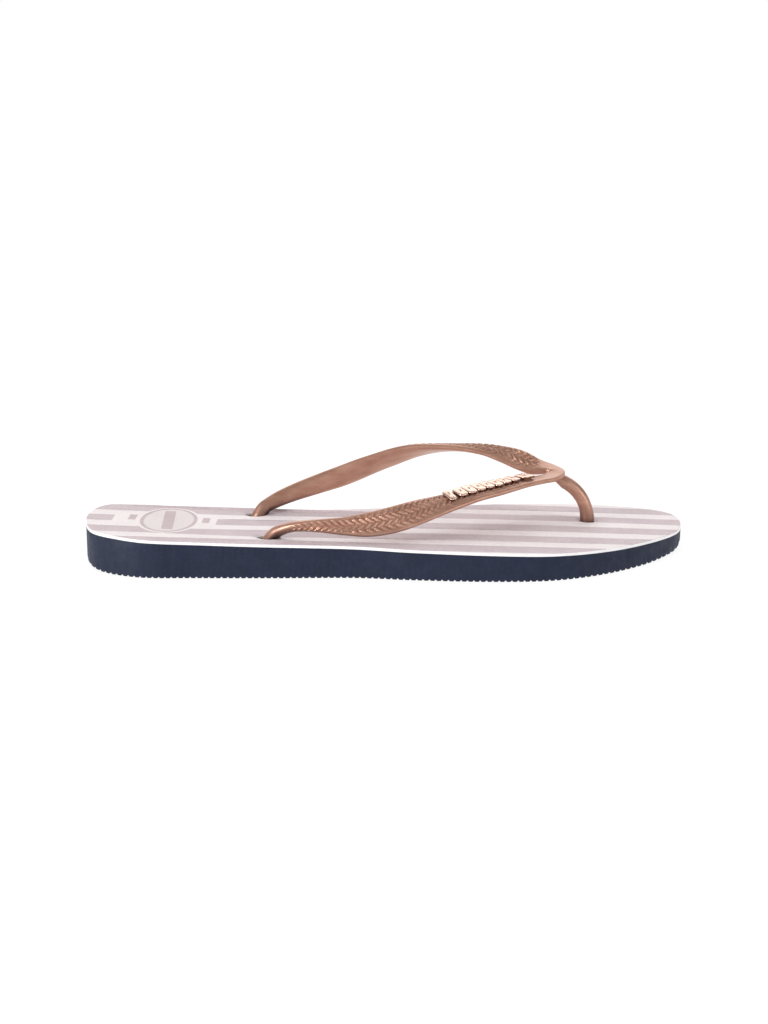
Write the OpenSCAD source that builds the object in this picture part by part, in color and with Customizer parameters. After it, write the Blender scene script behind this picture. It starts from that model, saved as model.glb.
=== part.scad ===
// Slim rubber flip flop, right foot.  +X points to the toe, +Y to the big-toe (medial) side,
// +Z up.  The origin is under the middle of the sole, on the ground.

/* [Sole] */
// Length of the sole, heel to toe
sole_l = 251.2; // [235:0.1:270]
// Width of the sole at the ball of the foot
sole_w = 90.6; // [84:0.2:98]
// Height of the rubber outsole at mid length, without the top sheet
outsole_h = 11.5; // [10:0.1:14]
// Drop of the outsole's height for each mm towards the toe
sole_taper = 0.029; // [0.02:0.001:0.035]
// Thickness of the white top sheet that the foot stands on
footbed_t = 1.2; // [0.8:0.1:2]
// How far the lower toe edge is cut back
toe_undercut = 2.4; // [1:0.1:4]
// How far the lower heel edge is rounded off
heel_round = 2.4; // [1:0.1:4]

/* [Tread] */
// Distance from one tread rib to the next
tread_pitch = 2.5; // [2.25:0.25:8]
// Width of the groove between two tread ribs
tread_groove_w = 1; // [0.8:0.1:2]
// Depth of the tread grooves
tread_depth = 0.5; // [0.3:0.1:1]

/* [Print] */
// Distance from one printed stripe to the next
stripe_pitch = 18.2; // [14:0.2:22]
// Width of one printed stripe
stripe_w = 9.8; // [6:0.2:12]
// Thickness of the printed film
film_t = 0.1; // [0.05:0.01:0.2]
// Length of the oval heel emblem, along the sole
emblem_l = 23.5; // [18:0.5:26]
// Width of the oval heel emblem, across the sole
emblem_w = 41; // [32:0.5:46]
// Width of the line that rings the emblem
emblem_line = 1.5; // [1:0.1:2.5]

/* [Strap] */
// Diameter of the toe post
post_d = 5.6; // [5:0.1:5.9]
// Diameter of the three stems that pass through the sole
stem_d = 6.2; // [6:0.1:6.4]
// Diameter of the retaining plug at the foot of each stem
plug_d = 15.6; // [12:0.2:18]
// Thickness of each retaining plug
plug_t = 2.8; // [2:0.1:3]
// Radius of the toe post's bend
post_bend_r = 18.5; // [17:0.1:19.5]

/* [Fits] */
// Gap all round between a stem or plug and its hole
hole_gap = 0.2; // [0.1:0.05:0.4]
// Depth of the wells under the sole that take the plugs
well_depth = 4; // [3.6:0.1:5]
// Diameter of the dimple in the footbed around each stem
dimple_d = 8; // [7.6:0.2:11]
// Depth of that dimple
dimple_depth = 0.4; // [0.2:0.1:1.1]

/* [Metal trim] */
// Width of a bead across the strap
bead_w = 7.6; // [5:0.1:7.6]
// How far the row of beads sits from the middle of the strap, towards the big-toe side
bead_shift = 0.9; // [0:0.1:1]
// Length of a middle bead along the strap
bead_l = 4.4; // [3:0.1:4.4]
// Height of a bead above its seat
bead_h = 1.9; // [1.2:0.1:2.4]
// Diameter of the pin under each bead
pin_d = 1.2; // [0.9:0.1:1.4]
// Diameter of the retaining washer on each pin
washer_d = 3; // [2.4:0.1:3.4]
// Thickness of that washer
washer_t = 0.5; // [0.3:0.1:0.6]

/* [Hidden] */

tall = 60;          // taller than the whole part
eps = 0.01;         // small overlap that joins solids

// Outline of the sole at its nominal 251.2 x 90.6 mm, as a closed smooth curve through these points,
// from the heel along the little-toe side, round the toe and back along the big-toe side.
nominal_l = 251.2;
nominal_w = 90.6;
outline_steps = 6;
outline_points = [
    [-125.3, -5], [-118.6, -26.4], [-100.1, -38.4], [-74.4, -39.6], [-44.4, -39.8], [-13.4, -39.4],
    [10.6, -42.8], [40.6, -45.1], [66.6, -43], [90.6, -31.4], [111.6, -12.2], [123.2, 6],
    [125, 29], [114.1, 40.2], [91.6, 44.2], [62.6, 42.5], [38.6, 37.4], [8.6, 30.4],
    [-29.4, 26], [-69.4, 24.8], [-100.1, 25.2], [-117.6, 22], [-124.1, 13]
];

// Height of the outsole's top at x, and how finely that curve is divided
bed_wave = 0.45;
bed_divisions = 24;
function outsole_top(x) = outsole_h - sole_taper * x + bed_wave * sin(360 * x / nominal_l);
function bed_top(x) = outsole_top(x) + footbed_t;

// Places of the three stems
front_stem = [85.1, 15];
inner_stem = [-55.9, 14.6];
outer_stem = [-48.1, -25];
stems = [front_stem, inner_stem, outer_stem];
plug_z = well_depth - plug_t;

// Strap: one band that runs up the outer arm, round the toe post and back down the inner arm.
// Each station is [x, y, z, width, thickness, lean], where lean is the angle of the band's outer
// face above the horizontal: 90 faces straight up, more than 90 leans in over the foot, less than 0
// faces down.
outer_arm = [
    [-48.1, -25, 13.65, 5, 5, -24], [-44.2, -27.9, 16.45, 4.7, 4.4, -24], [-38.9, -30.1, 18.7, 4.1, 3.8, -20],
    [-33.4, -31.5, 19.55, 4.5, 3.6, -8], [-26.4, -32.7, 19.85, 5.5, 3.4, 10], [-17.4, -33.3, 19.85, 7.5, 3.2, 28],
    [-7.4, -32.9, 20.45, 10.6, 3.2, 39], [2.6, -31.2, 22.15, 11.5, 3.2, 41], [12.6, -27.4, 24.45, 11.5, 3.2, 53],
    [22.6, -22.8, 26.55, 11.3, 3.2, 70], [33.6, -15.8, 28.25, 11.1, 3.2, 81], [44.6, -8.2, 29.15, 11, 3.2, 86],
    [54.6, -0.6, 29.85, 10.6, 3.2, 92]
];
crotch = [
    [62.6, 5.4, 30.25, 9.4, 3.6, 92], [68.2, 9.8, 29.85, 7.8, 4.4, 84], [70.6, 14.8, 30.05, 6.8, 4.8, 80],
    [68, 18.8, 31.25, 7.8, 4.4, 96]
];
inner_arm = [
    [62.1, 20.2, 33.25, 9.6, 3.6, 116], [56.1, 21.6, 35.55, 10.8, 3.2, 124], [49.6, 23, 37.55, 11, 3.2, 112],
    [41.6, 24.9, 39.15, 11.1, 3.2, 96], [31.6, 26.9, 39.65, 11.2, 3.2, 82], [20.6, 28.2, 39.15, 11.4, 3.2, 70],
    [10.6, 28.7, 37.75, 11.5, 3.2, 54], [0.6, 28.8, 34.75, 11.5, 3.2, 41], [-9.4, 27.3, 31.35, 11, 3.2, 30],
    [-19.4, 25.7, 27.75, 10, 3.2, 16], [-29.4, 23.3, 24.75, 8.6, 3.4, 3], [-39.4, 20.4, 21.75, 7.4, 3.8, -6],
    [-46.2, 18, 19.35, 6.6, 4.2, -8], [-51.8, 16, 16.65, 5.8, 4.6, -4], [-55.9, 14.6, 14.05, 5, 5, 0]
];
band_stations = concat(outer_arm, crotch, inner_arm);
band_steps = 3;
band_sides = 14;
band_squareness = 0.75;   // exponent of the band's section: 1 is an ellipse, less is squarer

// Toe post: a bend about an axis along Y, from the front stem up to the crotch of the arms
post_bend = [front_stem.x - post_bend_r, front_stem.y, 10.75];
post_sweep = 76;

// Metal beads: [x of the bead's middle, its length along the strap]
bead_first_x = 25.2;
bead_step_x = 3.75;
end_bead_l = 3.4;
last_bead_l = 7;
last_bead_x = 57.6;
bead_count = 9;
bead_places = concat(
    [[bead_first_x, end_bead_l]],
    [for (i = [1:bead_count - 2]) [bead_first_x + 0.7 + i * bead_step_x, bead_l]],
    [[last_bead_x, last_bead_l]]
);
seat_z = 1.3;            // height of a bead's seat above the arm's middle surface
washer_z = -1.5;         // underside of a washer, from the same surface
seat_gap = 0.15;
dot_d = 1;               // small round dimple in the top of each bead
dot_depth = 0.7;

// ---- curves ----

// Point on a smooth curve between b and c, with a and d their outer neighbours
function curve_point(a, b, c, d, s) =
    b + s * (c - a) / 2 + s * s * (a - 2.5 * b + 2 * c - 0.5 * d)
    + s * s * s * (-0.5 * a + 1.5 * b - 1.5 * c + 0.5 * d);

function closed_curve(p, steps) = [
    for (i = [0:len(p) - 1], j = [0:steps - 1])
        curve_point(
            p[(i + len(p) - 1) % len(p)], p[i], p[(i + 1) % len(p)], p[(i + 2) % len(p)], j / steps
        )
];

function open_curve(p, steps) = concat(
    [
        for (i = [0:len(p) - 2], j = [0:steps - 1])
            curve_point(p[max(i - 1, 0)], p[i], p[i + 1], p[min(i + 2, len(p) - 1)], j / steps)
    ],
    [p[len(p) - 1]]
);

function unit(v) = v / norm(v);
function place(station) = [station[0], station[1], station[2]];

// Direction of travel at ring i, the outer-face normal there, and the ring's points
function travel(rings, i) =
    unit(place(rings[min(i + 1, len(rings) - 1)]) - place(rings[max(i - 1, 0)]));
function face_normal(t, lean) =
    let (outward = unit(cross(t, [0, 0, 1]))) outward * cos(lean) + cross(outward, t) * sin(lean);
function rounded(c) = sign(c) * pow(abs(c), band_squareness);
function band_ring(rings, i) =
    let (
        t = travel(rings, i),
        n = face_normal(t, rings[i][5]),
        half_across = cross(n, t) * rings[i][3] / 2,
        half_through = n * rings[i][4] / 2
    )
    [
        for (k = [0:band_sides - 1])
            let (a = 360 * k / band_sides)
            place(rings[i]) + half_across * rounded(cos(a)) + half_through * rounded(sin(a))
    ];

// ---- shared shapes ----

// The sole's outline, solid from the ground up
module outline_block() {
    scale_x = sole_l / nominal_l;
    scale_y = sole_w / nominal_w;
    points = [for (p = closed_curve(outline_points, outline_steps)) [p.x * scale_x, p.y * scale_y]];
    linear_extrude(tall) polygon(points);
}

// A flat shape in the X-Z plane, drawn out across the whole width
module across_sole() {
    translate([0, sole_w, 0]) rotate([90, 0, 0]) linear_extrude(2 * sole_w) children();
}

function bed_x(i) = (i / bed_divisions - 0.5) * (sole_l + 4);

// Band of the side view between the outsole's top raised by low and raised by high
module bed_band(low, high) {
    polygon(concat(
        [for (i = [0:bed_divisions]) [bed_x(i), outsole_top(bed_x(i)) + low]],
        [for (i = [bed_divisions:-1:0]) [bed_x(i), outsole_top(bed_x(i)) + high]]
    ));
}

// Side view of the outsole: tread ribs below, undercut toe, rounded heel
module outsole_side() {
    half = sole_l / 2;
    ribs = floor((half - toe_undercut - tread_pitch) / tread_pitch);
    undercut_h = 5;
    top = [for (i = [bed_divisions:-1:0]) [bed_x(i), outsole_top(bed_x(i))]];
    heel = [
        for (a = [0:15:90])
            [-half + heel_round * (1 - cos(a)), heel_round * (1 - sin(a))]
    ];
    grooves = [
        for (i = [-ribs:ribs - 1])
            let (x = (i + 0.5) * tread_pitch, g = tread_groove_w / 2)
            each [[x - g, 0], [x - g, tread_depth], [x + g, tread_depth], [x + g, 0]]
    ];
    toe = [[half - toe_undercut, 0], [half + 2, undercut_h]];
    polygon(concat(top, [[-half - 2, heel_round]], heel, grooves, toe));
}

module at_stems() {
    for (s = stems) translate([s.x, s.y, 0]) children();
}

// A thin printed film that follows the footbed
module film() {
    difference() {
        intersection() {
            outline_block();
            across_sole() bed_band(footbed_t, footbed_t + film_t);
            linear_extrude(tall) children();
        }
        at_stems() cylinder(d = dimple_d + 1, h = tall, $fn = 48);
    }
}

module oval(l, w) {
    polygon([for (a = [0:6:354]) [l / 2 * cos(a), w / 2 * sin(a)]]);
}

// ---- sole ----

module outsole() {
    color("#343c56") difference() {
        intersection() {
            outline_block();
            across_sole() outsole_side();
        }
        at_stems() translate([0, 0, -1]) cylinder(d = stem_d + 2 * hole_gap, h = tall, $fn = 48);
        at_stems() translate([0, 0, -1]) cylinder(d = plug_d + 2 * hole_gap, h = well_depth + 1, $fn = 64);
    }
}

module footbed() {
    color("#ece6e6") difference() {
        intersection() {
            outline_block();
            across_sole() bed_band(0, footbed_t);
        }
        at_stems() cylinder(d = stem_d + 2 * hole_gap, h = tall, $fn = 48);
        for (s = stems)
            translate([s.x, s.y, bed_top(s.x) - dimple_depth]) cylinder(d = dimple_d, h = 5, $fn = 48);
    }
}

// ---- print ----

emblem_place = [-91.4, -2];
emblem_gap = 1.4;        // bare margin round the emblem
stripe_shift = -2.1;
label_gap_l = 43;        // bare length of the middle stripe, under the emblem and its side marks
label_gap_x = -93;       // middle of that bare length

module stripe_print() {
    color("#c9b4b8") film() difference() {
        for (k = [-2:2])
            translate([-sole_l, k * stripe_pitch + stripe_shift - stripe_w / 2]) square([2 * sole_l, stripe_w]);
        translate(emblem_place) oval(emblem_l + 2 * emblem_gap, emblem_w + 2 * emblem_gap);
        translate([label_gap_x - label_gap_l / 2, stripe_shift - stripe_w / 2 - eps])
            square([label_gap_l, stripe_w + 2 * eps]);
    }
}

// Plain generic heel print: an oval ring, one slanted band and two short marks beside it
module heel_print() {
    band_w = 4.6;
    band_l = 31;
    band_slant = 4;
    mark_w = 8.5;
    mark_l = 3;
    mark_reach = 15.3;
    color("#c08f92") film() translate(emblem_place) {
        difference() {
            oval(emblem_l, emblem_w);
            oval(emblem_l - 2 * emblem_line, emblem_w - 2 * emblem_line);
        }
        rotate(band_slant) square([band_w, band_l], center = true);
        for (side = [-1, 1])
            translate([side * mark_reach, 2]) square([mark_l, mark_w], center = true);
    }
}

// ---- strap ----

// The whole band, from one rear stem to the other: a closed tube of rings with flat ends
band_rings = open_curve(band_stations, band_steps);
module band() {
    n = band_sides;
    last = len(band_rings) - 1;
    points = [for (i = [0:last]) each band_ring(band_rings, i)];
    walls = [
        for (i = [0:last - 1], k = [0:n - 1])
            let (a = i * n + k, b = i * n + (k + 1) % n)
            [a, a + n, b + n, b]
    ];
    polyhedron(points, concat(walls, [[for (k = [0:n - 1]) k], [for (k = [n - 1:-1:0]) last * n + k]]));
}

// Toe post above the footbed, bending back to the crotch
module post() {
    translate(post_bend) rotate([90, 0, 0])
        rotate_extrude(angle = post_sweep, $fn = 96) translate([post_bend_r, 0]) circle(d = post_d, $fn = 32);
}

// A stem in its hole, with its plug, up to a round elbow at top_z
module stem(top_z) {
    translate([0, 0, plug_z]) cylinder(d = plug_d, h = plug_t, $fn = 64);
    translate([0, 0, plug_z + plug_t - eps]) cylinder(d = stem_d, h = top_z - well_depth + eps, $fn = 32);
}
module rear_stem(station) {
    translate([station.x, station.y, 0]) stem(station.z);
    translate(place(station)) sphere(d = stem_d + 2 * hole_gap, $fn = 32);
}

// Moves its children to the outer arm's middle surface at x, with +X along the arm and +Z out of its
// outer face
outer_rings = open_curve(concat(outer_arm, [crotch[0], crotch[1]]), band_steps);
function on_outer_arm(x) = [for (k = [0:5]) lookup(x, [for (r = outer_rings) [r[0], r[k]]])];
module on_arm(x) {
    here = on_outer_arm(x);
    t = unit(place(on_outer_arm(x + 1)) - place(on_outer_arm(x - 1)));
    n = face_normal(t, here[5]);
    b = cross(n, t);
    multmatrix([
        [t.x, b.x, n.x, here[0]], [t.y, b.y, n.y, here[1]], [t.z, b.z, n.z, here[2]], [0, 0, 0, 1]
    ]) children();
}

module at_bead(x) {
    on_arm(x) translate([0, bead_shift, 0]) children();
}

module strap() {
    color("#c48d78") difference() {
        union() {
            band();
            post();
            translate([front_stem.x, front_stem.y, 0]) stem(post_bend.z);
            rear_stem(band_stations[0]);
            rear_stem(band_stations[len(band_stations) - 1]);
        }
        for (b = bead_places) at_bead(b[0]) {
            translate([-b[1] / 2 - seat_gap, -bead_w / 2 - seat_gap, seat_z])
                cube([b[1] + 2 * seat_gap, bead_w + 2 * seat_gap, 4]);
            translate([0, 0, washer_z - 1]) cylinder(d = pin_d, h = 6, $fn = 24);
            translate([0, 0, washer_z + washer_t - 4]) cylinder(d = washer_d, h = 4, $fn = 32);
        }
    }
}

// ---- metal trim ----

// One plain bead with rounded ends, a domed top, a small dimple and its pin
module bead(l) {
    dome_r = 7;
    difference() {
        intersection() {
            translate([-l / 2, -bead_w / 2, seat_z]) cube([l, bead_w, bead_h]);
            translate([0, 0, seat_z + bead_h - dome_r]) sphere(r = dome_r, $fn = 64);
        }
        translate([0, 0, seat_z + bead_h - dot_depth]) cylinder(d = dot_d, h = 2, $fn = 24);
    }
    translate([0, 0, washer_z]) cylinder(d = pin_d, h = seat_z - washer_z + eps, $fn = 24);
}

module trim_bead(i) {
    color("#e8b9a4") at_bead(bead_places[i - 1][0]) bead(bead_places[i - 1][1]);
}

module trim_retainers() {
    color("#d8a893") for (b = bead_places) at_bead(b[0]) translate([0, 0, washer_z]) difference() {
        cylinder(d = washer_d, h = washer_t, $fn = 32);
        translate([0, 0, -1]) cylinder(d = pin_d, h = 3, $fn = 24);
    }
}

outsole();
footbed();
stripe_print();
heel_print();
strap();
trim_bead(1);  // trim_bead_1
trim_bead(2);  // trim_bead_2
trim_bead(3);  // trim_bead_3
trim_bead(4);  // trim_bead_4
trim_bead(5);  // trim_bead_5
trim_bead(6);  // trim_bead_6
trim_bead(7);  // trim_bead_7
trim_bead(8);  // trim_bead_8
trim_bead(9);  // trim_bead_9
trim_retainers();
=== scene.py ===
import math

import bmesh
import bpy
import numpy as np
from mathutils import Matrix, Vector
from mathutils.geometry import delaunay_2d_cdt


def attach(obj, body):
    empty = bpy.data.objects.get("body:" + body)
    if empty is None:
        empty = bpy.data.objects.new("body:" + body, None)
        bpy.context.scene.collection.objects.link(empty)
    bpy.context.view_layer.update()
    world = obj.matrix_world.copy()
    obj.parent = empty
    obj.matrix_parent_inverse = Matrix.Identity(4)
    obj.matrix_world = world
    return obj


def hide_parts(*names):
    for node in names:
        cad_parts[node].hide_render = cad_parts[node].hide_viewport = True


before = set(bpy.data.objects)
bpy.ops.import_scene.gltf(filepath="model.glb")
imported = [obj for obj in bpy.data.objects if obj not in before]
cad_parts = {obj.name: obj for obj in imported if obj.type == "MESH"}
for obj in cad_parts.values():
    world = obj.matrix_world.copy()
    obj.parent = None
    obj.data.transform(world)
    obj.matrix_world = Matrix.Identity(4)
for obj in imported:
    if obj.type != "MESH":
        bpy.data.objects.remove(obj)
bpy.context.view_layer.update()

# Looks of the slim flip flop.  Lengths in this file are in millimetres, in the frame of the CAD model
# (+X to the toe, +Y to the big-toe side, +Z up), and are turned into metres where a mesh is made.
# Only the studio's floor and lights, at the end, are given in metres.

MM = 0.001

# ---- sizes that repeat the CAD model's ----

OUTLINE = [
    (-125.3, -5), (-118.6, -26.4), (-100.1, -38.4), (-74.4, -39.6), (-44.4, -39.8), (-13.4, -39.4),
    (10.6, -42.8), (40.6, -45.1), (66.6, -43), (90.6, -31.4), (111.6, -12.2), (123.2, 6),
    (125, 29), (114.1, 40.2), (91.6, 44.2), (62.6, 42.5), (38.6, 37.4), (8.6, 30.4),
    (-29.4, 26), (-69.4, 24.8), (-100.1, 25.2), (-117.6, 22), (-124.1, 13),
]
SOLE_L = 251.2
OUTSOLE_H = 11.5
SOLE_TAPER = 0.029
BED_WAVE = 0.45
FOOTBED_T = 1.2
FILM_T = 0.05

FRONT_STEM = (85.1, 15)
INNER_STEM = (-55.9, 14.6)
OUTER_STEM = (-48.1, -25)
STEMS = (FRONT_STEM, INNER_STEM, OUTER_STEM)
STEM_R = 3.1
HOLE_R = 3.3
PLUG_R = 7.8
PLUG_Z = 1.2            # height of a plug's lower face
PLUG_T = 2.8
WELL_R = 8.0
WELL_DEPTH = 4

STRIPE_PITCH = 18.2
STRIPE_W = 9.8
STRIPE_SHIFT = -2.1
EMBLEM = (-91.4, -2)
EMBLEM_L = 23.5
EMBLEM_W = 41
EMBLEM_LINE = 1.5
EMBLEM_GAP = 1.4        # clear ground between the emblem and the stripes
LABEL_GAP_L = 43        # the middle stripe leaves out this length, round LABEL_GAP_X
LABEL_GAP_X = -93

# Each station of the strap's band: x, y, z, width, thickness, and the lean of its outer face above the
# horizontal in degrees
OUTER_ARM = [
    (-48.1, -25, 13.65, 5, 5, -24), (-44.2, -27.9, 16.45, 4.7, 4.4, -24),
    (-38.9, -30.1, 18.7, 4.1, 3.8, -20), (-33.4, -31.5, 19.55, 4.5, 3.6, -8),
    (-26.4, -32.7, 19.85, 5.5, 3.4, 10), (-17.4, -33.3, 19.85, 7.5, 3.2, 28),
    (-7.4, -32.9, 20.45, 10.6, 3.2, 39), (2.6, -31.2, 22.15, 11.5, 3.2, 41),
    (12.6, -27.4, 24.45, 11.5, 3.2, 53), (22.6, -22.8, 26.55, 11.3, 3.2, 70),
    (33.6, -15.8, 28.25, 11.1, 3.2, 81), (44.6, -8.2, 29.15, 11, 3.2, 86),
    (54.6, -0.6, 29.85, 10.6, 2.9, 92),
]
# Where the arms meet the toe post, thinner than the CAD model's solid
CROTCH = [
    (62.6, 5.4, 30.1, 9.2, 2.3, 92), (68.6, 9.8, 30.3, 7.8, 2.3, 88),
    (71.8, 14.9, 31.3, 6.8, 2.5, 88), (68.6, 18.9, 32.1, 7.8, 2.8, 98),
]
INNER_ARM = [
    (62.1, 20.2, 33.25, 9.6, 3.6, 116), (56.1, 21.6, 35.55, 10.8, 3.2, 124),
    (49.6, 23, 37.55, 11, 3.2, 112), (41.6, 24.9, 39.15, 11.1, 3.2, 96),
    (31.6, 26.9, 39.65, 11.2, 3.2, 82), (20.6, 28.2, 39.15, 11.4, 3.2, 70),
    (10.6, 28.7, 37.75, 11.5, 3.2, 54), (0.6, 28.8, 34.75, 11.5, 3.2, 41),
    (-9.4, 27.3, 31.35, 11, 3.2, 30), (-19.4, 25.7, 27.75, 10, 3.2, 16),
    (-29.4, 23.3, 24.75, 8.6, 3.4, 3), (-39.4, 20.4, 21.75, 7.4, 3.8, -6),
    (-46.2, 18, 19.35, 6.6, 4.2, -8), (-51.8, 16, 16.65, 5.8, 4.6, -4),
    (-55.9, 14.6, 14.05, 5, 5, 0),
]
STATIONS = np.array(OUTER_ARM + CROTCH + INNER_ARM, float)
POST_CENTRE = (66.6, 15, 10.75)     # centre of the toe post's bend
POST_BEND_R = 18.5
POST_SWEEP = 84

BEAD_COUNT = 9
BEAD_FIRST_X = 25.2
BEAD_STEP_X = 3.75
BEAD_LAST_X = 57.6
BEAD_W = 7.6
BEAD_H = 1.9
SEAT_Z = 1.3            # from the band's middle to the floor of a bead's pocket
BEAD_SHIFT = 0.9        # the row lies this far off the band's middle, across it


# ---- curves ----

def curve_point(a, b, c, d, s):
    """Point on a smooth curve between b and c, with a and d their outer neighbours."""
    return (
        b + s * (c - a) / 2
        + s * s * (a - 2.5 * b + 2 * c - 0.5 * d)
        + s ** 3 * (-0.5 * a + 1.5 * b - 1.5 * c + 0.5 * d)
    )


def closed_curve(points, steps):
    """A smooth closed loop through the points, with so many steps from each to the next."""
    p = np.array(points, float)
    n = len(p)
    return np.array([
        curve_point(p[i - 1], p[i], p[(i + 1) % n], p[(i + 2) % n], j / steps)
        for i in range(n) for j in range(steps)
    ])


def on_curve(stations, u):
    """The station values at parameter u, where u = 3.5 is halfway between stations 3 and 4."""
    last = len(stations) - 1
    i = min(int(u), last - 1)
    return curve_point(
        stations[max(i - 1, 0)], stations[i], stations[i + 1], stations[min(i + 2, last)], u - i
    )


def unit(v):
    return v / np.linalg.norm(v)


def smoothstep(low, high, x):
    t = np.clip((np.asarray(x, float) - low) / (high - low), 0, 1)
    return t * t * (3 - 2 * t)


def plateau(extent, x):
    """Rises from 0 to 1 between the extent's first two values, and falls back between its last two."""
    start, full, waning, end = extent
    return smoothstep(start, full, x) * (1 - smoothstep(waning, end, x))


def rounding(away, depth):
    """How far a quarter-round edge has fallen at a distance from it, as a share of its height."""
    curl = 1 - np.clip(away / depth, 0, 1)
    return 1 - np.sqrt(np.clip(1 - curl ** 2, 0, 1))


def outsole_top(x):
    return OUTSOLE_H - SOLE_TAPER * x + BED_WAVE * np.sin(2 * math.pi * x / SOLE_L)


HEEL_DROP = 0.6
HEEL_DROP_X = (-115, -72, -50, 20)
HEEL_DROP_WIDTH = 60
HEEL_DROP_POWER = 0.6   # under 1, the drop sets in fast at the outer edge
HEEL_OUTER_Y = -39.6


def heel_settling(x, y):
    """How far the heel's inner side has settled below the CAD surface."""
    across = np.clip((np.asarray(y) - HEEL_OUTER_Y) / HEEL_DROP_WIDTH, 0, 1)
    return HEEL_DROP * plateau(HEEL_DROP_X, x) * across ** HEEL_DROP_POWER


def circle(centre, radius, count):
    a = np.arange(count) * 2 * math.pi / count
    return np.column_stack([centre[0] + radius * np.cos(a), centre[1] + radius * np.sin(a)])


def oval(length, width, count=72):
    """An oval round the emblem's middle."""
    a = np.arange(count) * 2 * math.pi / count
    return np.column_stack([EMBLEM[0] + length / 2 * np.cos(a), EMBLEM[1] + width / 2 * np.sin(a)])


def rectangle(centre, length, width, turn=0):
    """The corners of a rectangle turned by so many degrees."""
    c, s = math.cos(math.radians(turn)), math.sin(math.radians(turn))
    corners = np.array([(-1, -1), (1, -1), (1, 1), (-1, 1)]) * (length / 2, width / 2)
    return np.array(centre) + corners @ np.array([(c, s), (-s, c)])


# ---- meshes ----

def make_piece(name, points, faces, materials, face_slots=None, crease=38):
    """A smooth-shaded object from points in mm; edges that turn more than crease degrees stay sharp."""
    mesh = bpy.data.meshes.new(name)
    mesh.from_pydata((np.asarray(points) * MM).tolist(), [], faces)
    for m in materials:
        mesh.materials.append(m)
    if face_slots is not None:
        mesh.polygons.foreach_set("material_index", face_slots)
    mesh.polygons.foreach_set("use_smooth", [True] * len(mesh.polygons))
    mesh.update()
    mesh.set_sharp_from_angle(angle=math.radians(crease))
    piece = bpy.data.objects.new(name, mesh)
    bpy.context.scene.collection.objects.link(piece)
    return piece


def finish_piece(piece, slot, *nodes):
    """Sets the piece on the sole's one body, in place of CAD nodes."""
    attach(piece, "root")
    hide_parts(*nodes)


def inside(points, loop):
    """Which points lie inside a closed loop, by counting crossings."""
    x, y = points[:, 0], points[:, 1]
    found = np.zeros(len(points), bool)
    for (x0, y0), (x1, y1) in zip(loop, np.roll(loop, -1, axis=0)):
        if y0 == y1:
            continue
        crosses = (y0 > y) != (y1 > y)
        found ^= crosses & (x < x0 + (y - y0) * (x1 - x0) / (y1 - y0))
    return found


def edge_distance(points, loop):
    """Distance from each point to a closed loop."""
    a, b = loop, np.roll(loop, -1, axis=0)
    d = b - a
    squared = (d * d).sum(1)
    nearest = np.empty(len(points))
    for i, p in enumerate(points):
        t = np.clip(((p - a) * d).sum(1) / squared, 0, 1)
        nearest[i] = np.linalg.norm(a + d * t[:, None] - p, axis=1).min()
    return nearest


def triangulate(loops, lines, spacing):
    """Triangles over the first loop, with edges along the other loops and the lines.

    Where spacing is a number, grid points that far apart are added inside the first loop.
    """
    snap = 1e-5             # points closer than this become one
    least_area = 1e-7       # twice the area of the smallest triangle that is kept
    points, edges = [], []
    for loop in loops:
        start = len(points)
        points += [tuple(p) for p in loop]
        edges += [(start + i, start + (i + 1) % len(loop)) for i in range(len(loop))]
    for line in lines:
        start = len(points)
        points += [tuple(p) for p in line]
        edges += [(start + i, start + i + 1) for i in range(len(line) - 1)]
    if spacing:
        low, high = loops[0].min(0), loops[0].max(0)
        xs, ys = np.arange(low[0], high[0], spacing), np.arange(low[1], high[1], spacing)
        grid = np.array([(x, y + (i % 2) * spacing / 2) for i, x in enumerate(xs) for y in ys])
        points += [tuple(p) for p in grid[inside(grid, loops[0])]]
    verts, _, faces, _, _, _ = delaunay_2d_cdt([Vector(p) for p in points], edges, [], 0, snap)
    verts = np.array([tuple(v) for v in verts])
    faces = np.array(faces)
    corners = verts[faces]
    d1, d2 = corners[:, 1] - corners[:, 0], corners[:, 2] - corners[:, 0]
    area = d1[:, 0] * d2[:, 1] - d1[:, 1] * d2[:, 0]
    faces[area < 0] = faces[area < 0][:, ::-1]
    return verts, faces[np.abs(area) > least_area]


def slab(verts, faces, z_top, z_bottom):
    """A closed solid between two heights over a flat triangulation.

    Returns its points, its faces with the top ones first, and how many are top ones.
    """
    used = np.unique(faces)
    index = np.full(len(verts), -1)
    index[used] = np.arange(len(used))
    f = index[faces]
    n = len(used)
    count = {}
    for a, b, c in f.tolist():
        for e in ((a, b), (b, c), (c, a)):
            count[e] = count.get(e, 0) + 1
    rim = [(a, b) for a, b in count if (b, a) not in count]
    points = np.vstack([
        np.column_stack([verts[used], z_top[used]]),
        np.column_stack([verts[used], z_bottom[used]]),
    ])
    tops = [tuple(t) for t in f.tolist()]
    bottoms = [(c + n, b + n, a + n) for a, b, c in f.tolist()]
    walls = [(b, a, a + n, b + n) for a, b in rim]
    return points, tops + bottoms + walls, len(tops)


# ---- materials ----

def new_material(name, metallic=0.0, specular=0.5, roughness=0.5):
    material = bpy.data.materials.new(name)
    material.use_nodes = True
    tree = material.node_tree
    shader = tree.nodes["Principled BSDF"]
    shader.inputs["Metallic"].default_value = metallic
    shader.inputs["Specular IOR Level"].default_value = specular
    shader.inputs["Roughness"].default_value = roughness
    return material, tree, shader


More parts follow.
